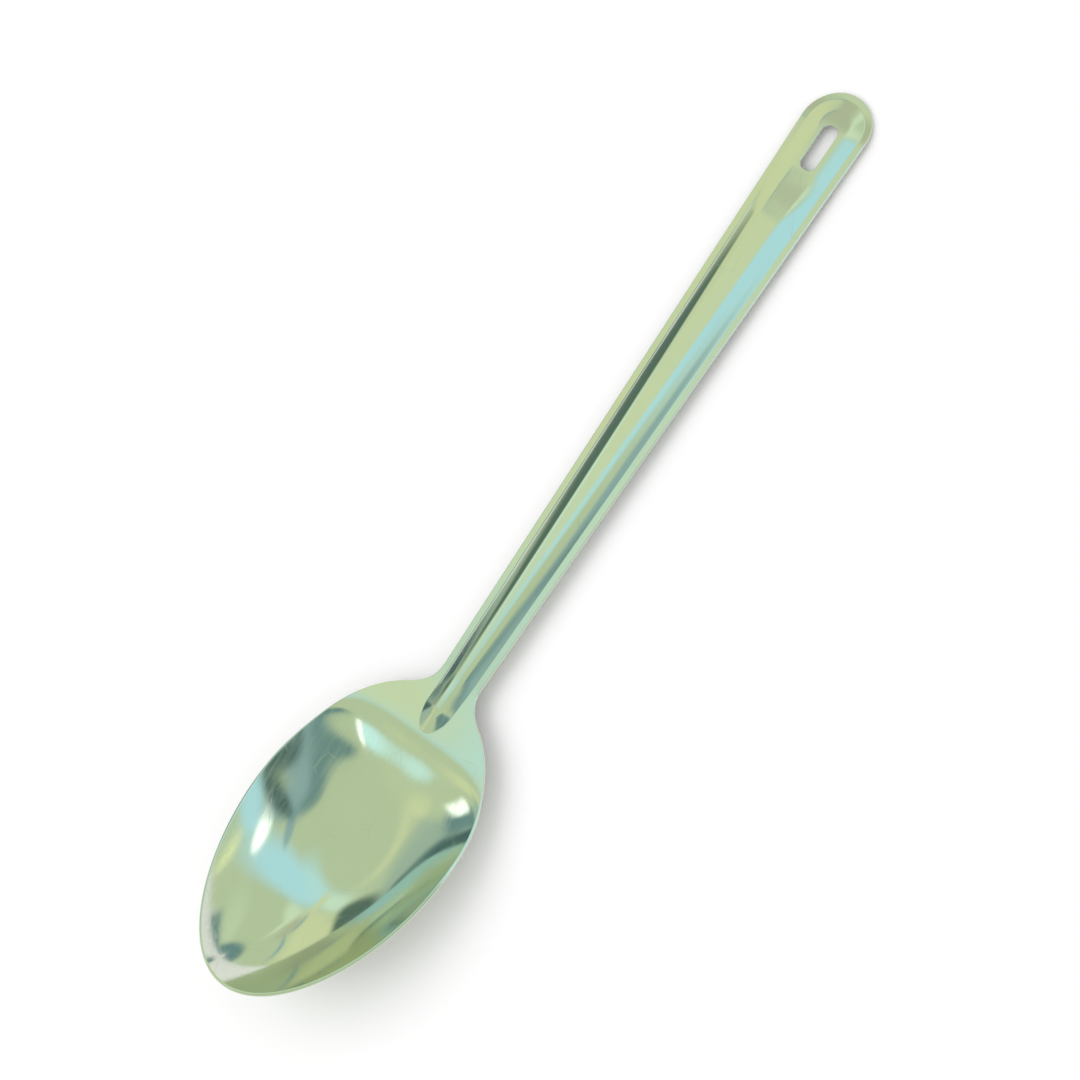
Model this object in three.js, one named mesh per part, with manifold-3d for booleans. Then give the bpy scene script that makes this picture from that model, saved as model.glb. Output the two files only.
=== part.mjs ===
// Long-handled serving spoon, pressed from one sheet of stainless steel.
// Millimetres, +Z up. +X runs from the bowl to the hanging end. The spoon lies at rest:
// the flat of the bowl and the turned-down hanging end touch the surface z = 0.
import * as THREE from "three";
import { mergeVertices } from "three/addons/utils/BufferGeometryUtils.js";
import Module from "manifold-3d";

const wasm = await Module();
wasm.setup();

// Sheet
const SHEET = 1.2;

// Plan outline
const OVERALL_LENGTH = 330;
const BOWL_LENGTH = 108.7; // tip to the point where the bowl's oval would close
const BOWL_WIDTH = 69.8;
const OVAL_SKEW = 0.1; // the oval is this much fuller toward the handle
const SHOULDER_START = 4.2; // the outline leaves the oval this far before it would close
const NECK_RUN = 6.5; // from the oval's close to the narrowest place
const NECK_WIDTH = 15.5;
const END_WIDTH = 23.7; // the hanging end is a half circle of this diameter

// Side view
const NECK_HEIGHT = 6.8; // top of the flange at the neck
const TIP_RISE = 20.9; // rim at the tip, above the handle's line carried on
const RIM_EASE = 0.5; // share of the bowl over which the rim starts to rise
const END_DROP = 0.9;
const END_TURN = 14; // length of the turned-down stretch, with its level lip
const END_LIP = 2.2; // the lip lies level on the surface

// Bowl
const FRONT_WALL = 40; // tip to the flat of the bowl
const BACK_WALL = 29; // flat of the bowl to the crest
const FLOOR_WIDTH = 15.4;
const WALL_CURVE = 2;
const SHOULDER_LENGTH = 24; // crest to the neck
const CREST_SOFTNESS = 0.9; // depth over which the crest is rounded

// Stiffening rib, raised on the upper side and hollow below
const RIB_HEIGHT = 2.4;
const RIB_SIDE = 5.5; // plan width of one sloping side
const RIB_FOOT = 0.12; // share of the side that is the fillet at its foot
const RIB_ROLL = 0.45; // share of the side that rolls over to the crown
const FLANGE = 2.2; // flat strip left on each side of the rib
const NOSE_BEFORE_NECK = 21;
const NOSE_LENGTH = 6;

// Hanging end
const PAD_HEIGHT = 0.8; // crown left round the slot
const PAD_RUN = 20; // length over which the rib runs down to the pad
const SLOT_LENGTH = 15.6;
const SLOT_WIDTH = 5.5;
const SLOT_END_FLAT = 1.1; // straight stretch across each end of the slot
const SLOT_TO_END = 11.9;

// Fineness of the sheet
const STATIONS_BOWL = 26;
const STATIONS_NECK = 15;
const STATIONS_HANDLE = 6;
const STATIONS_PAD = 12;
const STATIONS_ROUND = 9;
const STEPS_CROWN = 2;
const STEPS_SIDE = 6;
const STEPS_OUTER = 6;
const NARROWEST_CROWN = 0.25; // share of the rib's half width
const WIDEST_RIB = 0.6; // share of the section's half width

const CLEAR = 10; // cutters run this far past the metal

// Places along the length, from the tip
const NECK_AT = BOWL_LENGTH + NECK_RUN;
const CREST_AT = NECK_AT - SHOULDER_LENGTH;
const FLOOR_END = CREST_AT - BACK_WALL;
const NOSE_AT = NECK_AT - NOSE_BEFORE_NECK;
const END_CENTRE = OVERALL_LENGTH - END_WIDTH / 2;
const SLOT_AT = OVERALL_LENGTH - SLOT_TO_END - SLOT_LENGTH / 2;
const PAD_AT = SLOT_AT - SLOT_LENGTH / 2;
const RUN_DOWN_AT = PAD_AT - PAD_RUN;

const { clamp } = THREE.MathUtils;
const ease = (share) => 0.5 - 0.5 * Math.cos(Math.PI * clamp(share, 0, 1));

// Half width of the bowl's oval
function ovalHalf(x) {
  const u = clamp((2 * x) / BOWL_LENGTH - 1, -1, 1);
  return (BOWL_WIDTH / 2) * Math.sqrt(1 - u * u) * (1 + OVAL_SKEW * u);
}

// Half width of the straight, widening handle
const HANDLE_TAPER = (END_WIDTH - NECK_WIDTH) / 2 / (END_CENTRE - NECK_AT);
const handleHalf = (x) => NECK_WIDTH / 2 + HANDLE_TAPER * (x - NECK_AT);

// The concave shoulder between oval and handle, tangent to both
const LEAVES_AT = BOWL_LENGTH - SHOULDER_START;
const leaveHalf = ovalHalf(LEAVES_AT);
const leaveStep = 0.01;
const leaveSlope =
  (ovalHalf(LEAVES_AT + leaveStep) - ovalHalf(LEAVES_AT - leaveStep)) / (2 * leaveStep);
const shoulderThird = (NECK_AT - LEAVES_AT) / 3;
const shoulder = new THREE.CubicBezierCurve(
  new THREE.Vector2(LEAVES_AT, leaveHalf),
  new THREE.Vector2(LEAVES_AT + shoulderThird, leaveHalf + leaveSlope * shoulderThird),
  new THREE.Vector2(NECK_AT - shoulderThird, NECK_WIDTH / 2 - HANDLE_TAPER * shoulderThird),
  new THREE.Vector2(NECK_AT, NECK_WIDTH / 2),
);

// Half width of the outline
function outlineHalf(x) {
  if (x < LEAVES_AT) return ovalHalf(x);
  if (x < NECK_AT) return shoulder.getPoint((x - LEAVES_AT) / (NECK_AT - LEAVES_AT)).y;
  if (x < END_CENTRE) return handleHalf(x);
  return Math.sqrt(Math.max((END_WIDTH / 2) ** 2 - (x - END_CENTRE) ** 2, 0));
}

// Height of the outline's upper edge: a straight handle, a rim that sweeps up to the tip, a turned-down end with a level lip
const HANDLE_FALL = (NECK_HEIGHT - SHEET - END_DROP) / (OVERALL_LENGTH - NECK_AT);
function edgeHeight(x) {
  const line = NECK_HEIGHT + HANDLE_FALL * (NECK_AT - x);
  const share = clamp((NECK_AT - x) / NECK_AT, 0, 1);
  const rise = (TIP_RISE * share ** 2 * (1 + RIM_EASE)) / (share + RIM_EASE);
  const turn = ease((x - OVERALL_LENGTH + END_TURN) / (END_TURN - END_LIP));
  return THREE.MathUtils.lerp(line + rise, SHEET, turn);
}

// Depth of the bowl below its rim, on the centre line
function bowlDepth(x) {
  if (x < FRONT_WALL) {
    const share = (FRONT_WALL - x) / FRONT_WALL;
    return edgeHeight(x) - SHEET - (edgeHeight(0) - SHEET) * share ** WALL_CURVE;
  }
  const share = Math.max(x - FLOOR_END, 0) / BACK_WALL;
  const depth = edgeHeight(x) - SHEET - (edgeHeight(CREST_AT) - SHEET) * share ** WALL_CURVE;
  if (depth > CREST_SOFTNESS) return depth;
  return Math.max(depth + CREST_SOFTNESS, 0) ** 2 / (4 * CREST_SOFTNESS);
}

// Share of the rib's height on its side, from foot to crown: a tight fillet, a straight slope, a broad roll
const SIDE_SLOPE = 1 / (1 - (RIB_FOOT + RIB_ROLL) / 2);
function ribSide(share) {
  const up = clamp(share, 0, 1);
  if (up < RIB_FOOT) return (SIDE_SLOPE * up ** 2) / (2 * RIB_FOOT);
  if (up > 1 - RIB_ROLL) return 1 - (SIDE_SLOPE * (1 - up) ** 2) / (2 * RIB_ROLL);
  return SIDE_SLOPE * (up - RIB_FOOT / 2);
}

// Height of the rib above the outline's edge. Its foot runs round the hanging end as an even flange.
function ribRise(x, y) {
  const nose = Math.sin((Math.PI / 2) * clamp((x - NOSE_AT) / NOSE_LENGTH, 0, 1));
  const half = nose * (Math.min(handleHalf(x), outlineHalf(x)) - FLANGE);
  const height = THREE.MathUtils.lerp(RIB_HEIGHT, PAD_HEIGHT, ease((x - RUN_DOWN_AT) / PAD_RUN));
  const beside = half - Math.abs(y);
  const round = END_WIDTH / 2 - FLANGE - Math.hypot(x - END_CENTRE, y);
  return height * ribSide((x < END_CENTRE ? beside : round) / RIB_SIDE);
}

// Height of the sheet's upper side
const FLOOR_SHARE = FLOOR_WIDTH / BOWL_WIDTH;
function upperHeight(x, y) {
  const across = Math.abs(y) / outlineHalf(x);
  const wall = clamp((across - FLOOR_SHARE) / (1 - FLOOR_SHARE), 0, 1) ** WALL_CURVE;
  return edgeHeight(x) - bowlDepth(x) * (1 - wall) + ribRise(x, y);
}

// Places across one section, from -Y to +Y: close together on the flat of the bowl or on the rib
function acrossAt(x) {
  const outer = outlineHalf(x);
  const rib = Math.min(handleHalf(x) - FLANGE, WIDEST_RIB * outer);
  const base = x < CREST_AT ? FLOOR_SHARE * outer : rib;
  const crown = Math.max(base - RIB_SIDE, NARROWEST_CROWN * base);
  const half = [];
  for (let i = 1; i <= STEPS_CROWN; i++) half.push((crown * i) / STEPS_CROWN);
  for (let i = 1; i <= STEPS_SIDE; i++) half.push(crown + ((base - crown) * i) / STEPS_SIDE);
  for (let i = 1; i <= STEPS_OUTER; i++) half.push(base + ((outer - base) * i) / STEPS_OUTER);
  return [...half.toReversed().map((y) => -y), 0, ...half];
}

// Stations along the length. Those of the two round ends crowd toward the ends, half a step off them.
const evenly = (from, to, count) =>
  Array.from({ length: count }, (_, i) => from + ((to - from) * (i + 1)) / count);
const crowded = (length, count) =>
  Array.from({ length: count }, (_, i) => length * (1 - Math.cos((Math.PI / 2) * ((i + 0.5) / (count - 0.5)))));
const zones = {
  bowl: crowded(CREST_AT, STATIONS_BOWL),
  neck: evenly(CREST_AT, NECK_AT, STATIONS_NECK),
  handle: evenly(NECK_AT, RUN_DOWN_AT, STATIONS_HANDLE),
  hanging_end: [
    ...evenly(RUN_DOWN_AT, END_CENTRE, STATIONS_PAD),
    ...crowded(END_WIDTH / 2, STATIONS_ROUND)
      .toReversed()
      .slice(1)
      .map((gap) => OVERALL_LENGTH - gap),
  ],
};
const stations = Object.values(zones).flat();
const ROW = 2 * (STEPS_CROWN + STEPS_SIDE + STEPS_OUTER) + 1;

// Triangles of a grid of rows, facing up, alike on both sides of the centre line
function gridTriangles(rows) {
  const triangles = [];
  for (let row = 0; row < rows - 1; row++) {
    for (let column = 0; column < ROW - 1; column++) {
      const a = row * ROW + column;
      const b = a + ROW;
      if (column < (ROW - 1) / 2) triangles.push([a, b, b + 1], [a, b + 1, a + 1]);
      else triangles.push([a, b, a + 1], [b, b + 1, a + 1]);
    }
  }
  return triangles;
}

const geometryOf = (points, index) =>
  new THREE.BufferGeometry()
    .setAttribute("position", new THREE.Float32BufferAttribute(points, 3))
    .setIndex(index);

// The sheet's upper side, and its lower side one sheet thickness along the normals
const upperPoints = stations.flatMap((x) => acrossAt(x).flatMap((y) => [x, y, upperHeight(x, y)]));
const upper = geometryOf(upperPoints, gridTriangles(stations.length).flat());
upper.computeVertexNormals();
const normals = upper.getAttribute("normal").array;
const lowerPoints = upperPoints.map((value, i) => value - SHEET * normals[i]);

// A closed solid of the sheet between two stations
function sheetSolid(firstRow, lastRow) {
  const rows = lastRow - firstRow + 1;
  const under = rows * ROW;
  const index = [];
  const quad = (a, b, c, d) => index.push(a, b, c, a, c, d);
  for (const [a, b, c] of gridTriangles(rows)) index.push(a, b, c, a + under, c + under, b + under);
  for (let row = 0; row < rows - 1; row++) {
    const right = row * ROW;
    const left = right + ROW - 1;
    quad(right, right + under, right + ROW + under, right + ROW);
    quad(left, left + ROW, left + ROW + under, left + under);
  }
  for (let column = 0; column < ROW - 1; column++) {
    const far = (rows - 1) * ROW + column;
    quad(column, column + 1, column + 1 + under, column + under);
    quad(far, far + under, far + 1 + under, far + 1);
  }
  const stretch = [3 * firstRow * ROW, 3 * (lastRow + 1) * ROW];
  return geometryOf([...upperPoints.slice(...stretch), ...lowerPoints.slice(...stretch)], index);
}

function toManifold(geometry) {
  const bare = new THREE.BufferGeometry().setAttribute("position", geometry.getAttribute("position"));
  const merged = mergeVertices(bare.setIndex(geometry.index), 1e-4);
  return new wasm.Manifold(
    new wasm.Mesh({
      numProp: 3,
      vertProperties: new Float32Array(merged.getAttribute("position").array),
      triVerts: new Uint32Array(merged.index.array),
    }),
  );
}

function toGeometry(solid) {
  const mesh = solid.getMesh();
  return new THREE.BufferGeometry()
    .setAttribute("position", new THREE.BufferAttribute(mesh.vertProperties, 3))
    .setIndex(new THREE.BufferAttribute(mesh.triVerts, 1));
}

// The hanging slot, as a tall rounded bar
function slotCutter() {
  const corner = (SLOT_WIDTH - SLOT_END_FLAT) / 2;
  const endX = SLOT_LENGTH / 2 - corner;
  const sideY = SLOT_END_FLAT / 2;
  const quarter = Math.PI / 2;
  const shape = new THREE.Shape();
  shape.absarc(endX, sideY, corner, 0, quarter);
  shape.absarc(-endX, sideY, corner, quarter, 2 * quarter);
  shape.absarc(-endX, -sideY, corner, 2 * quarter, 3 * quarter);
  shape.absarc(endX, -sideY, corner, 3 * quarter, 4 * quarter);
  const depth = 2 * CLEAR;
  const bar = new THREE.ExtrudeGeometry(shape, { depth, bevelEnabled: false, curveSegments: 6 });
  return bar.translate(SLOT_AT, 0, edgeHeight(SLOT_AT) - CLEAR);
}

const steel = new THREE.MeshStandardMaterial({
  name: "steel",
  color: new THREE.Color().setRGB(0.72, 0.76, 0.66, THREE.SRGBColorSpace),
  roughness: 0.16,
  metalness: 1,
});

const spoon = new THREE.Group();
spoon.name = "spoon";
let firstRow = 0;
for (const [name, places] of Object.entries(zones)) {
  const lastRow = stations.indexOf(places.at(-1));
  let geometry = sheetSolid(firstRow, lastRow);
  if (name === "hanging_end")
    geometry = toGeometry(toManifold(geometry).subtract(toManifold(slotCutter())));
  geometry.computeVertexNormals();
  const mesh = new THREE.Mesh(geometry, steel);
  mesh.name = name;
  spoon.add(mesh);
  firstRow = lastRow;
}

// The origin lies under the middle of the spoon
const extent = new THREE.Box3().setFromObject(spoon);
spoon.children.forEach((mesh) => {
  mesh.position.x = -(extent.min.x + extent.max.x) / 2;
});

export default spoon;
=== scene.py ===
import math

import bpy
import numpy as np
from mathutils import Matrix, Vector


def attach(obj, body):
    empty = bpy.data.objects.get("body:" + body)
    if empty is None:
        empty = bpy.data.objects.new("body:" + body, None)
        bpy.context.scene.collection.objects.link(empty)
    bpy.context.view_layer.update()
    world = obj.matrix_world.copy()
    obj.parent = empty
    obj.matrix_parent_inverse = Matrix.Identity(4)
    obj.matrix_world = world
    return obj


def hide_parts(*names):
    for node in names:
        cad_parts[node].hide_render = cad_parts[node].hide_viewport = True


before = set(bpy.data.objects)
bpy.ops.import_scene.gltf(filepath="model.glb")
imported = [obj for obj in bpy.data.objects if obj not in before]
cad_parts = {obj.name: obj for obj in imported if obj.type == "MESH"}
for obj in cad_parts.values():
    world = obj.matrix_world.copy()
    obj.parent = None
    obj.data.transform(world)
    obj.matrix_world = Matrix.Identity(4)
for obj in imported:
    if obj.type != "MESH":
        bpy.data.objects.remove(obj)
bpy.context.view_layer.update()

MM = 0.001

# Sizes of the spoon, in millimetres from the tip of the bowl
SHEET = 1.2
OVERALL_LENGTH = 330
BOWL_LENGTH = 108.7
BOWL_WIDTH = 69.8
OVAL_SKEW = 0.1
SHOULDER_START = 4.2
NECK_RUN = 6.5
NECK_WIDTH = 15.5
END_WIDTH = 23.7
NECK_HEIGHT = 6.8
TIP_RISE = 20.9
RIM_EASE = 0.5
END_DROP = 0.9
END_TURN = 14
END_LIP = 2.2
FLOOR_WIDTH = 15.4
SHOULDER_LENGTH = 24
CREST_SOFTNESS = 1.5
CREST_RUN = 17
CREST_POWER = 4
LEAST_SOFTNESS = 0.01
RIB_HEIGHT = 2.4
RIB_SIDE = 5.5
RIB_FOOT = 0.05
RIB_ROLL = 0.45
RIB_LEAN = 0.8
FLANGE = 2.2
NOSE_BEFORE_NECK = 21
NOSE_LENGTH = 9
NOSE_SHARE = 0.7
NOSE_RUN = 16
PAD_HEIGHT = 0.8
PAD_RUN = 20
SLOT_LENGTH = 15.6
SLOT_WIDTH = 5.5
SLOT_END_FLAT = 1.1
SLOT_TO_END = 11.9
ORIGIN_AT = 164.459
RIM_ROUND = 0.35
SLOT_ROUND = 0.25

# Places along the length
NECK_AT = BOWL_LENGTH + NECK_RUN
CREST_AT = NECK_AT - SHOULDER_LENGTH
BOWL_MIDDLE = BOWL_LENGTH / 2
CREST_SHARE = CREST_AT / BOWL_MIDDLE - 1
NOSE_AT = NECK_AT - NOSE_BEFORE_NECK
END_CENTRE = OVERALL_LENGTH - END_WIDTH / 2
SLOT_AT = OVERALL_LENGTH - SLOT_TO_END - SLOT_LENGTH / 2
PAD_AT = SLOT_AT - SLOT_LENGTH / 2
RUN_DOWN_AT = PAD_AT - PAD_RUN
LEAVES_AT = BOWL_LENGTH - SHOULDER_START
HANDLE_TAPER = (END_WIDTH - NECK_WIDTH) / 2 / (END_CENTRE - NECK_AT)
HANDLE_FALL = (NECK_HEIGHT - SHEET - END_DROP) / (OVERALL_LENGTH - NECK_AT)
FLOOR_SHARE = FLOOR_WIDTH / BOWL_WIDTH
SIDE_SLOPE = 2 / (RIB_FOOT + (1 + RIB_LEAN) * (1 - RIB_FOOT - RIB_ROLL) + RIB_LEAN * RIB_ROLL)

# Fineness of the visible sheet
ROWS_BOWL = 100
ROWS_NECK = 90
ROWS_HANDLE = 70
ROWS_OUTLINE = 44
ROWS_ROUND = 46
STEPS_CROWN = 6
STEPS_ROLL = 14
STEPS_SLOPE = 9
STEPS_FOOT = 8
STEPS_FLANGE = 13
STEPS_TO_SLOT = 44
STEPS_EDGE = 8
RIB_SHARE_MOST = 0.72
CROWN_SHARE_LEAST = 0.06


def clamp(value):
    return np.clip(value, 0, 1)


def ease(share):
    return 0.5 - 0.5 * np.cos(np.pi * clamp(share))


# Half widths of the plan outline
def oval_half(x):
    u = np.clip(2 * x / BOWL_LENGTH - 1, -1, 1)
    return BOWL_WIDTH / 2 * np.sqrt(1 - u * u) * (1 + OVAL_SKEW * u)


def handle_half(x):
    return NECK_WIDTH / 2 + HANDLE_TAPER * (x - NECK_AT)


def shoulder_half(x):
    run = NECK_AT - LEAVES_AT
    step = 0.01
    start = oval_half(LEAVES_AT)
    slope = (oval_half(LEAVES_AT + step) - oval_half(LEAVES_AT - step)) / (2 * step)
    share = clamp((x - LEAVES_AT) / run)
    back = 1 - share
    second = start + slope * run / 3
    third = NECK_WIDTH / 2 - HANDLE_TAPER * run / 3
    first_half = start * back ** 3 + 3 * second * back ** 2 * share
    return first_half + 3 * third * back * share ** 2 + NECK_WIDTH / 2 * share ** 3


def outline_half(x):
    x = np.asarray(x, float)
    end = np.sqrt(np.maximum((END_WIDTH / 2) ** 2 - (x - END_CENTRE) ** 2, 0))
    half = np.where(x < LEAVES_AT, oval_half(x), shoulder_half(x))
    half = np.where(x < NECK_AT, half, handle_half(x))
    return np.where(x < END_CENTRE, half, end)


# Height of the upper side along the edge of the sheet
def edge_height(x):
    line = NECK_HEIGHT + HANDLE_FALL * (NECK_AT - x)
    share = clamp((NECK_AT - x) / NECK_AT)
    rise = TIP_RISE * share ** 2 * (1 + RIM_EASE) / (share + RIM_EASE)
    turn = ease((x - OVERALL_LENGTH + END_TURN) / (END_TURN - END_LIP))
    return (line + rise) * (1 - turn) + SHEET * turn


# Ovals inside one another: 0 in the middle of the bowl, 1 on its rim and along its crest
def oval_reach(x, y):
    above_zero = 1e-12
    u = x / BOWL_MIDDLE - 1
    back = ease(u / CREST_SHARE)
    along = np.abs(u) * (1 + (1 / CREST_SHARE - 1) * back)
    across = np.abs(y) / (BOWL_WIDTH / 2 * (1 + OVAL_SKEW * u))
    power = 2 + (CREST_POWER - 2) * back
    return (along ** power + across ** power + above_zero) ** (1 / power)


def bowl_depth(x, y):
    wall = np.maximum(oval_reach(x, y) - FLOOR_SHARE, 0) / (1 - FLOOR_SHARE)
    depth = (edge_height(x) - SHEET) * (1 - wall ** 2)
    near_crest = ease((x - CREST_AT) / CREST_RUN + 1) * ease((NECK_AT - x) / SHOULDER_LENGTH)
    soft = CREST_SOFTNESS * near_crest + LEAST_SOFTNESS
    return (depth + np.sqrt(depth ** 2 + soft ** 2)) / 2


def rib_side(share):
    up = clamp(share)
    top = 1 - RIB_ROLL
    past = np.clip(up, RIB_FOOT, top) - RIB_FOOT
    foot = np.minimum(up, RIB_FOOT) ** 2 / (2 * RIB_FOOT)
    slope = past - (1 - RIB_LEAN) * past ** 2 / (2 * (top - RIB_FOOT))
    over = np.maximum(up - top, 0)
    roll = RIB_LEAN * (over - over ** 2 / (2 * RIB_ROLL))
    return SIDE_SLOPE * (foot + slope + roll)


def rib_rise(x, y):
    half = np.minimum(handle_half(x), outline_half(x)) - FLANGE
    down = ease((x - RUN_DOWN_AT) / PAD_RUN)
    height = RIB_HEIGHT * (1 - down) + PAD_HEIGHT * down
    height = height * (NOSE_SHARE + (1 - NOSE_SHARE) * ease((x - NOSE_AT) / NOSE_RUN))
    nose = half - np.hypot(half * (1 - (x - NOSE_AT) / NOSE_LENGTH), y)
    end = END_WIDTH / 2 - FLANGE - np.hypot(x - END_CENTRE, y)
    beside = np.where(x < NOSE_AT + NOSE_LENGTH, nose, half - np.abs(y))
    return height * rib_side(np.where(x < END_CENTRE, beside, end) / RIB_SIDE)


def upper_height(x, y):
    return edge_height(x) - bowl_depth(x, y) + rib_rise(x, y)


def upper_normal(x, y):
    step = 0.05
    along = np.clip(x, 2 * step, OVERALL_LENGTH - 2 * step)
    room = outline_half(along) - 2 * step
    across = np.clip(y, -room, room)
    dx = (upper_height(along + step, across) - upper_height(along - step, across)) / (2 * step)
    dy = (upper_height(along, across + step) - upper_height(along, across - step)) / (2 * step)
    normal = np.stack([-dx, -dy, np.ones_like(dx)], axis=-1)
    return normal / np.linalg.norm(normal, axis=-1, keepdims=True)


# The outline drawn in by the round of the cut edge, with its outward direction in plan
def outline_point(x):
    step = 0.001
    if x < step:
        return RIM_ROUND, 0.0, (-1.0, 0.0)
    if x > OVERALL_LENGTH - step:
        return OVERALL_LENGTH - RIM_ROUND, 0.0, (1.0, 0.0)
    slope = float(outline_half(x + step / 2) - outline_half(x - step / 2)) / step
    size = math.hypot(1, slope)
    inset_x = x + RIM_ROUND * slope / size
    inset_y = float(outline_half(x)) - RIM_ROUND / size
    return inset_x, inset_y, (-slope / size, 1 / size)


# Places across one section, from the centre line to the edge
def half_section(x, outer):
    base = min(float(handle_half(x)) - FLANGE, RIB_SHARE_MOST * outer)
    crown = max(base - RIB_SIDE, CROWN_SHARE_LEAST * base)
    side = base - crown
    roll = RIB_ROLL * side
    foot = RIB_FOOT * side
    slope = side - roll - foot
    start = 0.0
    places = []
    stretches = [(crown, STEPS_CROWN), (roll, STEPS_ROLL), (slope, STEPS_SLOPE), (foot, STEPS_FOOT),
                 (outer - base, STEPS_FLANGE)]
    for length, steps in stretches:
        places += [start + length * (i + 1) / steps for i in range(steps)]
        start += length
    even = [outer * (i + 1) / len(places) for i in range(len(places))]
    spread = float(ease((NECK_AT - x) / SHOULDER_LENGTH))
    return [a + (b - a) * spread for a, b in zip(places, even)]


def section(station):
    x, outer, _ = outline_point(station)
    half = half_section(x, outer)
    across = [-y for y in reversed(half)] + [0.0] + half
    return [(x, y) for y in across]


def evenly(start, end, count):
    return [start + (end - start) * i / count for i in range(count + 1)]


class Sheet:
    """Points of the upper side, the lower side and the rounded edges of one zone, and its faces."""

    def __init__(self):
        self.points = []
        self.normals = []
        self.faces = []

    def add(self, point, normal):
        self.points.append(point)
        self.normals.append(normal)
        return len(self.points) - 1

    def add_sides(self, plan):
        x, y = np.array(plan).T
        normals = upper_normal(x, y)
        tops = np.stack([x, y, upper_height(x, y)], axis=-1)
        upper = [self.add(top, normal) for top, normal in zip(tops, normals)]
        lower = [self.add(top - SHEET * normal, -normal) for top, normal in zip(tops, normals)]
        return upper, lower

    def add_grid(self, rows, closed=False):
        for row, following in zip(rows[:-1], rows[1:]):
            pairs = list(zip(row, row[1:] + row[:1], following, following[1:] + following[:1]))
            for a, b, c, d in pairs if closed else pairs[:-1]:
                corners = []
                for corner in (a, b, d, c):
                    if corner not in corners:
                        corners.append(corner)
                if len(corners) > 2:
                    self.faces.append(corners)

    def add_edge(self, upper, lower, outward, bulge, closed=False):
        rows = [upper]
        for step in range(1, STEPS_EDGE):
            turn = math.pi * step / STEPS_EDGE
            row = []
            for top, way in zip(upper, outward):
                normal = self.normals[top]
                flat = np.array([way[0], way[1], 0.0])
                out = flat - flat.dot(normal) * normal
                out = out / np.linalg.norm(out)
                middle = self.points[top] - SHEET / 2 * normal
                place = middle + SHEET / 2 * math.cos(turn) * normal + bulge * math.sin(turn) * out
                facing = math.cos(turn) / (SHEET / 2) * normal + math.sin(turn) / bulge * out
                row.append(self.add(place, facing / np.linalg.norm(facing)))
            rows.append(row)
        rows.append(lower)
        self.add_grid(rows, closed)

    def to_object(self, name):
        points = (np.array(self.points) - np.array([ORIGIN_AT, 0, 0])) * MM
        normals = np.array(self.normals)
        faces = []
        for corners in self.faces:
            a, b, c = points[corners[0]], points[corners[1]], points[corners[2]]
            facing = np.cross(b - a, c - a)
            if len(corners) == 4:
                facing = facing + np.cross(c - a, points[corners[3]] - a)
            faces.append(corners if facing.dot(normals[corners].mean(axis=0)) > 0 else corners[::-1])
        mesh = bpy.data.meshes.new(name)
        mesh.from_pydata(points.tolist(), [], faces)
        mesh.polygons.foreach_set("use_smooth", [True] * len(mesh.polygons))
        mesh.normals_split_custom_set_from_vertices(normals.tolist())
        piece = bpy.data.objects.new(name, mesh)
        bpy.context.scene.collection.objects.link(piece)
        return piece


def mirrored(way):
    return (way[0], -way[1])


# A zone between two stations, with both long edges rounded
def strip_zone(name, stations):
    sheet = Sheet()
    uppers = []
    lowers = []
    ways = []
    for station in stations:
        plan = section(station)
        if station == 0:
            upper, lower = sheet.add_sides(plan[:1])
            upper = upper * len(plan)
            lower = lower * len(plan)
        else:
            upper, lower = sheet.add_sides(plan)
        uppers.append(upper)
        lowers.append(lower)
        ways.append(outline_point(station)[2])
    sheet.add_grid(uppers)
    sheet.add_grid(lowers)
    right = [row[0] for row in uppers]
    right_low = [row[0] for row in lowers]
    left = [row[-1] for row in uppers]
    left_low = [row[-1] for row in lowers]
    sheet.add_edge(left, left_low, ways, RIM_ROUND)
    sheet.add_edge(right, right_low, [mirrored(way) for way in ways], RIM_ROUND)
    return sheet.to_object(name)


# The point of the slot's outline nearest to a place in plan, with the way into the slot
def slot_point(x, y):
    corner = (SLOT_WIDTH - SLOT_END_FLAT) / 2
    core_x = min(max(x, SLOT_AT - SLOT_LENGTH / 2 + corner), SLOT_AT + SLOT_LENGTH / 2 - corner)
    core_y = min(max(y, -SLOT_END_FLAT / 2), SLOT_END_FLAT / 2)
    far = math.hypot(x - core_x, y - core_y)
    way = ((x - core_x) / far, (y - core_y) / far)
    reach = corner + SLOT_ROUND
    return core_x + reach * way[0], core_y + reach * way[1], (-way[0], -way[1])


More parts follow.
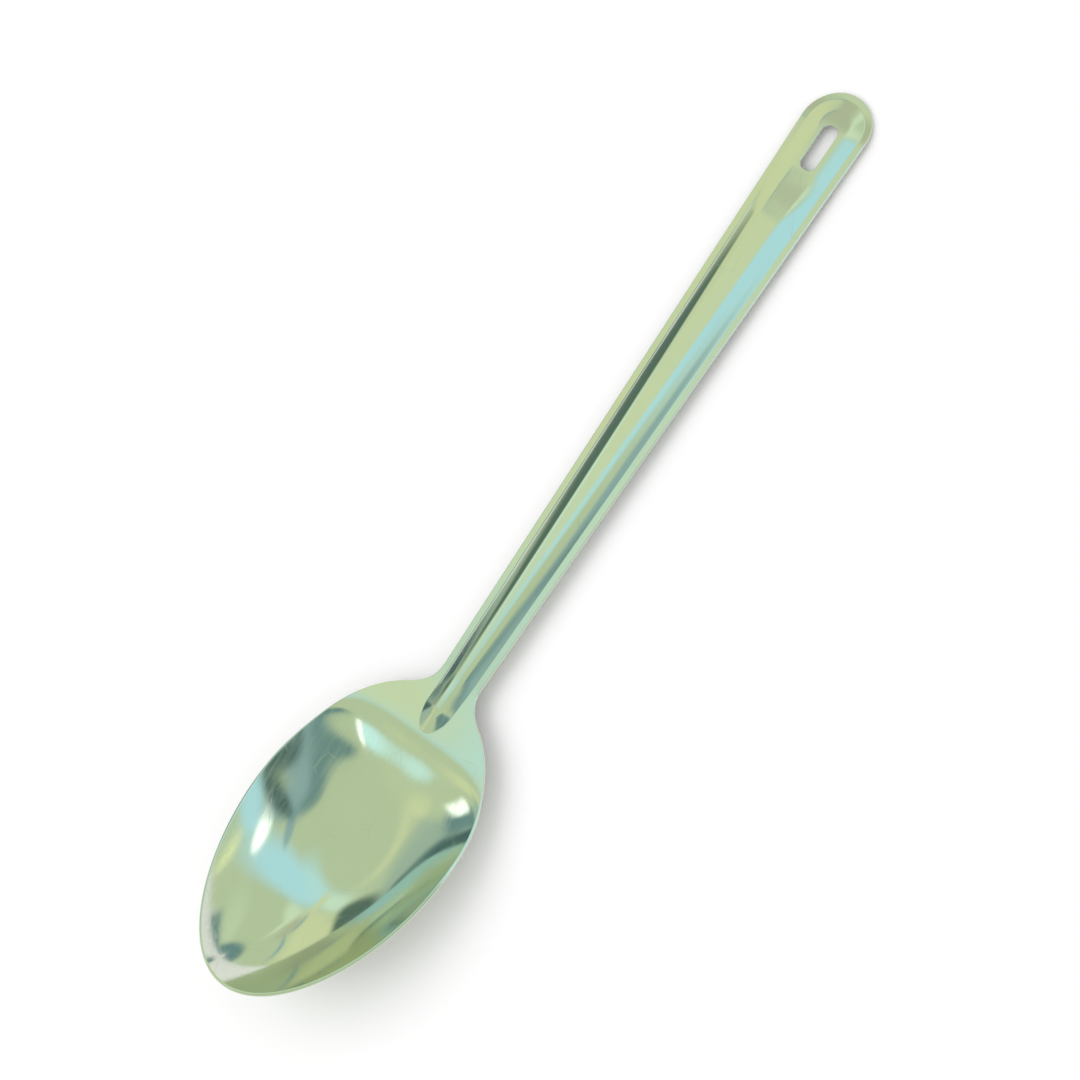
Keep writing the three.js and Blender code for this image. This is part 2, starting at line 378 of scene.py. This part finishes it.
# The zone round the slot: rings from the slot to the outline and to the handle's last section
def end_zone(name):
    along = evenly(RUN_DOWN_AT, END_CENTRE, ROWS_OUTLINE)[1:]
    quarter = evenly(0, math.pi / 2, ROWS_ROUND // 2)[1:]
    along += [END_CENTRE + END_WIDTH / 2 * math.sin(turn) for turn in quarter]
    outline = [outline_point(x) for x in along]
    left = [(x, y) for x, y, _ in outline]
    right = [(x, -y) for x, y, _ in reversed(outline[:-1])]
    outer = section(RUN_DOWN_AT) + left + right
    inner = [slot_point(x, y) for x, y in outer]
    sheet = Sheet()
    uppers = []
    lowers = []
    for step in range(STEPS_TO_SLOT + 1):
        share = step / STEPS_TO_SLOT
        plan = []
        for near, far in zip(inner, outer):
            plan.append((near[0] + (far[0] - near[0]) * share, near[1] + (far[1] - near[1]) * share))
        upper, lower = sheet.add_sides(plan)
        uppers.append(upper)
        lowers.append(lower)
    sheet.add_grid(uppers, closed=True)
    sheet.add_grid(lowers, closed=True)
    sheet.add_edge(uppers[0], lowers[0], [way for _, _, way in inner], SLOT_ROUND, closed=True)
    first = len(section(RUN_DOWN_AT)) - 1
    edge_up = uppers[-1][first:] + uppers[-1][:1]
    edge_low = lowers[-1][first:] + lowers[-1][:1]
    start = outline_point(RUN_DOWN_AT)[2]
    ways = [start] + [way for _, _, way in outline]
    ways += [mirrored(way) for _, _, way in reversed(outline[:-1])]
    ways.append(mirrored(start))
    sheet.add_edge(edge_up, edge_low, ways, RIM_ROUND)
    return sheet.to_object(name)


bowl_stations = [CREST_AT * (1 - math.cos(math.pi / 2 * i / ROWS_BOWL)) for i in range(ROWS_BOWL + 1)]
pieces = {
    "bowl": strip_zone("spoon_bowl", bowl_stations),
    "neck": strip_zone("spoon_neck", evenly(CREST_AT, NECK_AT, ROWS_NECK)),
    "handle": strip_zone("spoon_handle", evenly(NECK_AT, RUN_DOWN_AT, ROWS_HANDLE)),
    "hanging_end": end_zone("spoon_hanging_end"),
}


# Polished stainless steel: fine polishing lines along the length, faint clouds and sparse thin wear marks
STEEL_COLOUR = (0.66, 0.7, 0.6)
STEEL_ROUGHNESS = (0.07, 0.13)
LINES_SCALE = (14, 900, 900)
LINES_DETAIL = 4.0
LINES_RANGE = (0.3, 0.7)
LINES_STRENGTH = 0.02
LINES_DEPTH = 0.0002
CLOUD_SCALE = 60.0
CLOUD_DETAIL = 3.0
CLOUD_TONES = (0.97, 1.03)
WEAR_COLOUR = (0.46, 0.5, 0.43)
WEAR_SHARE = 0.2
WEAR_DULLNESS = 0.1
MARK_CELLS = 48.0
MARK_WIDTH = 0.01
BEND_SCALE = 70.0
BEND_SIZE = 0.003
SPREAD_SCALE = 90.0
SPREAD_RANGE = (0.48, 0.62)
PLAIN_DETAIL = 2.0


def new_material(name):
    material = bpy.data.materials.new(name)
    material.use_nodes = True
    material.node_tree.nodes.clear()
    return material, material.node_tree.nodes, material.node_tree.links


def math_node(nodes, links, operation, first, second=None, value=None):
    node = nodes.new("ShaderNodeMath")
    node.operation = operation
    links.new(first, node.inputs[0])
    if second is not None:
        links.new(second, node.inputs[1])
    if value is not None:
        node.inputs[1].default_value = value
    return node.outputs[0]


def noise_node(nodes, links, place, scale, detail=PLAIN_DETAIL):
    noise = nodes.new("ShaderNodeTexNoise")
    noise.inputs["Scale"].default_value = scale
    noise.inputs["Detail"].default_value = detail
    links.new(place, noise.inputs["Vector"])
    return noise


def range_node(nodes, links, value, start, end, low=0, high=1):
    node = nodes.new("ShaderNodeMapRange")
    node.inputs["From Min"].default_value = start
    node.inputs["From Max"].default_value = end
    node.inputs["To Min"].default_value = low
    node.inputs["To Max"].default_value = high
    links.new(value, node.inputs["Value"])
    return node


def mix_node(nodes, links, share):
    mix = nodes.new("ShaderNodeMix")
    mix.data_type = "RGBA"
    links.new(share, mix.inputs["Factor"])
    return mix


# Sparse thin wear marks: 1 on a mark, 0 beside it
def wear_marks(nodes, links, place):
    bend = noise_node(nodes, links, place, BEND_SCALE)
    shift = nodes.new("ShaderNodeVectorMath")
    shift.operation = "MULTIPLY_ADD"
    shift.inputs[1].default_value = (BEND_SIZE, BEND_SIZE, BEND_SIZE)
    links.new(bend.outputs["Color"], shift.inputs[0])
    links.new(place, shift.inputs[2])
    cells = nodes.new("ShaderNodeTexVoronoi")
    cells.feature = "DISTANCE_TO_EDGE"
    cells.inputs["Scale"].default_value = MARK_CELLS
    links.new(shift.outputs[0], cells.inputs["Vector"])
    thin = range_node(nodes, links, cells.outputs["Distance"], 0, MARK_WIDTH, low=1, high=0)
    spread = noise_node(nodes, links, place, SPREAD_SCALE)
    kept = range_node(nodes, links, spread.outputs["Fac"], *SPREAD_RANGE)
    return math_node(nodes, links, "MULTIPLY", thin.outputs[0], kept.outputs[0])


def make_steel():
    material, nodes, links = new_material("polished_steel")
    output = nodes.new("ShaderNodeOutputMaterial")
    shader = nodes.new("ShaderNodeBsdfPrincipled")
    shader.inputs["Metallic"].default_value = 1.0
    links.new(shader.outputs[0], output.inputs["Surface"])
    place = nodes.new("ShaderNodeTexCoord").outputs["Object"]
    stretch = nodes.new("ShaderNodeMapping")
    stretch.inputs["Scale"].default_value = LINES_SCALE
    links.new(place, stretch.inputs["Vector"])
    lines = noise_node(nodes, links, stretch.outputs[0], 1.0, LINES_DETAIL)
    gloss = range_node(nodes, links, lines.outputs["Fac"], *LINES_RANGE, *STEEL_ROUGHNESS)
    marks = wear_marks(nodes, links, place)
    dull = math_node(nodes, links, "MULTIPLY", marks, value=WEAR_DULLNESS)
    links.new(math_node(nodes, links, "ADD", gloss.outputs[0], dull), shader.inputs["Roughness"])
    clouds = noise_node(nodes, links, place, CLOUD_SCALE, CLOUD_DETAIL)
    tone = mix_node(nodes, links, clouds.outputs["Fac"])
    for socket, level in zip(("A", "B"), CLOUD_TONES):
        tone.inputs[socket].default_value = (*[level * value for value in STEEL_COLOUR], 1)
    worn = mix_node(nodes, links, math_node(nodes, links, "MULTIPLY", marks, value=WEAR_SHARE))
    links.new(tone.outputs["Result"], worn.inputs["A"])
    worn.inputs["B"].default_value = (*WEAR_COLOUR, 1)
    links.new(worn.outputs["Result"], shader.inputs["Base Color"])
    bump = nodes.new("ShaderNodeBump")
    bump.inputs["Strength"].default_value = LINES_STRENGTH
    bump.inputs["Distance"].default_value = LINES_DEPTH
    links.new(lines.outputs["Fac"], bump.inputs["Height"])
    links.new(bump.outputs[0], shader.inputs["Normal"])
    return material


steel = make_steel()
for node, piece in pieces.items():
    piece.data.materials.append(steel)
    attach(piece, "root")
    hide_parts(node)


# The camera of the photograph, in the row frame
CAMERA_TILT = math.radians(25)
CAMERA_DISTANCE = 900
FRAME_WIDTH = 330.9
SENSOR = 36
AIM = (-1.47, 0, 5.75)
AIM_SIDE = 3.78
LEAN_RIGHT = 0.5603627
LEAN_UP = 0.82824733


def add_camera():
    along = Vector((math.cos(HANDLE_FALL), 0, -math.sin(HANDLE_FALL)))
    up = Vector((math.sin(HANDLE_FALL), 0, math.cos(HANDLE_FALL)))
    side = Vector((0, 1, 0))
    toward = math.cos(CAMERA_TILT) * up - math.sin(CAMERA_TILT) * side
    across = math.cos(CAMERA_TILT) * side + math.sin(CAMERA_TILT) * up
    right = LEAN_RIGHT * along - LEAN_UP * across
    above = LEAN_UP * along + LEAN_RIGHT * across
    place = Vector(AIM) + AIM_SIDE * across + CAMERA_DISTANCE * toward
    data = bpy.data.cameras.new("camera")
    data.sensor_width = SENSOR
    data.lens = SENSOR * CAMERA_DISTANCE / FRAME_WIDTH
    camera = bpy.data.objects.new("camera", data)
    turn = Matrix((right, above, toward)).transposed().to_4x4()
    camera.matrix_world = Matrix.Translation(place * MM) @ turn
    bpy.context.scene.collection.objects.link(camera)
    bpy.context.scene.camera = camera


add_camera()


# Studio: a white floor, an even white world and one soft lamp, in metres and watts
FLOOR_REACH = 3.0
FLOOR_WHITE = 0.95
WORLD_LEVEL = 0.9
LAMP_PLACE = (-0.5, 0.6, 1.2)
LAMP_SIZE = 1.2
LAMP_POWER = 6


def add_floor():
    mesh = bpy.data.meshes.new("floor")
    reach = FLOOR_REACH
    corners = [(-reach, -reach, 0), (reach, -reach, 0), (reach, reach, 0), (-reach, reach, 0)]
    mesh.from_pydata(corners, [], [(0, 1, 2, 3)])
    material, nodes, links = new_material("white_floor")
    output = nodes.new("ShaderNodeOutputMaterial")
    shader = nodes.new("ShaderNodeBsdfDiffuse")
    shader.inputs["Color"].default_value = (FLOOR_WHITE, FLOOR_WHITE, FLOOR_WHITE, 1)
    links.new(shader.outputs[0], output.inputs["Surface"])
    mesh.materials.append(material)
    floor = bpy.data.objects.new("floor", mesh)
    bpy.context.scene.collection.objects.link(floor)


def add_world():
    world = bpy.data.worlds.new("studio")
    world.use_nodes = True
    background = world.node_tree.nodes["Background"]
    background.inputs["Color"].default_value = (1, 1, 1, 1)
    background.inputs["Strength"].default_value = WORLD_LEVEL
    bpy.context.scene.world = world


def add_lamp():
    data = bpy.data.lights.new("soft_lamp", "AREA")
    data.size = LAMP_SIZE
    data.energy = LAMP_POWER
    lamp = bpy.data.objects.new("soft_lamp", data)
    place = Vector(LAMP_PLACE)
    lamp.location = place
    lamp.rotation_euler = place.to_track_quat("Z", "Y").to_euler()
    lamp.visible_glossy = False
    bpy.context.scene.collection.objects.link(lamp)


# What the polished steel mirrors: a wide dome that glows softly, like the room round the photographer,
# its zones being painted reflections placed so that highlights and dark bands fall on chosen parts of the
# spoon. Only mirrors see it. Places on it: (degrees to the side, degrees along the length).
SAGE = (0.65, 0.77, 0.53)
YELLOW = (0.83, 0.91, 0.57)
BUD = (0.72, 0.86, 0.61)
PALE = (0.83, 1.01, 0.75)
SKY = (0.6, 0.99, 1.14)
HAZE = (0.64, 1.0, 1.05)
BRIGHT = (0.85, 1.3, 1.35)
MINT = (0.81, 1.06, 0.87)
WHITE = (1.9, 2.05, 1.95)
SLATE = (0.36, 0.55, 0.58)
TEAL = (0.19, 0.34, 0.35)
DARK = (0.09, 0.17, 0.17)
GREEN = (0.13, 0.21, 0.175)
GREY = (0.47, 0.62, 0.52)
ROSE = (0.81, 0.86, 0.77)
BEIGE = (0.61, 0.665, 0.48)
GOLD = (1.02, 1.11, 0.67)

OVAL = False
BOX = True

DOME_RADIUS = 0.9
DOME_SIDES = (-90, 90)
DOME_ENDS = (-89, 88)
DOME_ROWS = 59
DOME_COLUMNS = 60
DOME_ZONES = [
    # colour, middle, half size, turn, softness, form
    (BUD, (-66, 62), (12, 22), 0, 0.6, OVAL),
    (YELLOW, (62, 28), (40, 18), 8, 0.35, OVAL),
    (HAZE, (8, 7), (26, 11), -16, 0.5, OVAL),
    (PALE, (12, 33), (15, 9), 0, 0.6, OVAL),
    (SKY, (-27, 18.5), (45, 11), -5, 0.45, OVAL),
    (MINT, (36, 2), (11, 7), 0, 0.6, OVAL),
    (YELLOW, (37, -28), (7, 16), 0, 0.5, OVAL),
    (SKY, (-71, 11), (8, 6), -45, 0.4, OVAL),
    (WHITE, (-62, 13), (10, 3.4), -60, 0.25, OVAL),
    (GOLD, (-82, 26), (10, 1.8), -50, 0.4, OVAL),
    (ROSE, (-89, 52), (4, 4), 0, 0.4, OVAL),
    # painted dark reflection bands across the far wall of the bowl and along the near foot of the rib
    (SLATE, (-40, 3), (4, 7), 0, 0.4, OVAL),
    (SLATE, (-41, -4), (26, 4), -30, 0.4, OVAL),
    (DARK, (-55, 2.5), (14, 2.5), -12, 0.4, OVAL),
    (TEAL, (-16, -19), (28, 3), -37, 0.4, OVAL),
    # painted dark reflection, with one painted white glint, that the near wall and the far side of the
    # rib both mirror
    (GREY, (80, -12), (38, 9), 15, 0.4, OVAL),
    (GREEN, (70, 4), (23, 9.5), 10, 0.25, OVAL),
    (DARK, (84, -9), (13, 4), 10, 0.35, OVAL),
    (TEAL, (66, -22), (14, 3), 40, 0.4, OVAL),
    (WHITE, (57, -32), (9, 1.4), 45, 0.4, OVAL),
    # painted highlight band and glint on the crest
    (BRIGHT, (27, -50), (18, 2.8), -16, 0.5, OVAL),
    (WHITE, (16, -45), (3.5, 1.4), -20, 0.6, OVAL),
    # painted yellow reflection on the crown of the rib
    (YELLOW, (26, 12), (3, 15), 0, 0.5, OVAL),
    # painted reflection streak on the centre line near the tip
    (BEIGE, (29, 42), (8, 16), -25, 0.4, OVAL),
    (SLATE, (31, 31), (11, 1.5), 62, 0.5, OVAL),
    (SLATE, (58, 49.5), (22, 1.6), 5, 0.5, OVAL),
    (PALE, (14, 48), (3, 16), -10, 0.6, OVAL),
    # painted dark reflection seen at the tip
    (TEAL, (-90, 68), (9, 16), 0, 0.3, BOX),
    (TEAL, (0, 87), (180, 9), 0, 0.3, BOX),
]


def dome_place(nodes, links):
    unit = nodes.new("ShaderNodeVectorMath")
    unit.operation = "NORMALIZE"
    links.new(nodes.new("ShaderNodeTexCoord").outputs["Object"], unit.inputs[0])
    axes = nodes.new("ShaderNodeSeparateXYZ")
    links.new(unit.outputs[0], axes.inputs[0])
    turn = math_node(nodes, links, "ARCTAN2", axes.outputs["Y"], axes.outputs["Z"])
    rise = math_node(nodes, links, "ARCSINE", axes.outputs["X"])
    flat = nodes.new("ShaderNodeCombineXYZ")
    links.new(math_node(nodes, links, "MULTIPLY", turn, value=math.degrees(1)), flat.inputs["X"])
    links.new(math_node(nodes, links, "MULTIPLY", rise, value=math.degrees(1)), flat.inputs["Y"])
    return flat.outputs[0]


# How far a place lies from the middle of a zone, with 1 on the zone's border
def zone_reach(nodes, links, place, middle, half, turn, is_box):
    local = nodes.new("ShaderNodeMapping")
    local.vector_type = "TEXTURE"
    local.inputs["Location"].default_value = (*middle, 0)
    local.inputs["Rotation"].default_value = (0, 0, math.radians(turn))
    local.inputs["Scale"].default_value = (*half, 1)
    links.new(place, local.inputs["Vector"])
    measure = nodes.new("ShaderNodeVectorMath")
    measure.operation = "ABSOLUTE" if is_box else "LENGTH"
    links.new(local.outputs[0], measure.inputs[0])
    if not is_box:
        return measure.outputs["Value"]
    sides = nodes.new("ShaderNodeSeparateXYZ")
    links.new(measure.outputs["Vector"], sides.inputs[0])
    return math_node(nodes, links, "MAXIMUM", sides.outputs["X"], sides.outputs["Y"])


# The zones are laid over one another in the order of the list, on a plain ground
def room_colour(nodes, links):
    place = dome_place(nodes, links)
    colour = None
    for zone_colour, middle, half, turn, softness, is_box in DOME_ZONES:
        reach = zone_reach(nodes, links, place, middle, half, turn, is_box)
        fade = range_node(nodes, links, reach, 1 - softness, 1 + softness, low=1, high=0)
        fade.interpolation_type = "SMOOTHSTEP"
        blend = mix_node(nodes, links, fade.outputs[0])
        blend.inputs["A"].default_value = (*SAGE, 1)
        blend.inputs["B"].default_value = (*zone_colour, 1)
        if colour is not None:
            links.new(colour, blend.inputs["A"])
        colour = blend.outputs["Result"]
    return colour


def room_material():
    material, nodes, links = new_material("room_glow")
    output = nodes.new("ShaderNodeOutputMaterial")
    glow = nodes.new("ShaderNodeEmission")
    links.new(room_colour(nodes, links), glow.inputs["Color"])
    links.new(glow.outputs[0], output.inputs["Surface"])
    material.cycles.emission_sampling = "NONE"
    return material


# One half ring of the dome, from floor to floor
def dome_ring(lean):
    x = DOME_RADIUS * math.sin(lean)
    radius = DOME_RADIUS * math.cos(lean)
    angles = [math.radians(angle) for angle in evenly(*DOME_SIDES, DOME_COLUMNS)]
    return [(x, radius * math.sin(angle), radius * math.cos(angle)) for angle in angles]


def add_room():
    points = []
    for lean in evenly(*DOME_ENDS, DOME_ROWS):
        points += dome_ring(math.radians(lean))
    width = DOME_COLUMNS + 1
    faces = []
    for row in range(DOME_ROWS):
        for column in range(DOME_COLUMNS):
            corner = row * width + column
            faces.append((corner, corner + 1, corner + width + 1, corner + width))
    mesh = bpy.data.meshes.new("room_dome")
    mesh.from_pydata(points, [], faces)
    mesh.materials.append(room_material())
    dome = bpy.data.objects.new("room_dome", mesh)
    bpy.context.scene.collection.objects.link(dome)
    dome.visible_camera = False
    dome.visible_diffuse = False
    dome.visible_transmission = False
    dome.visible_volume_scatter = False
    dome.visible_shadow = False


add_room()
add_floor()
add_world()
add_lamp()
bpy.context.scene.view_settings.view_transform = "Standard"
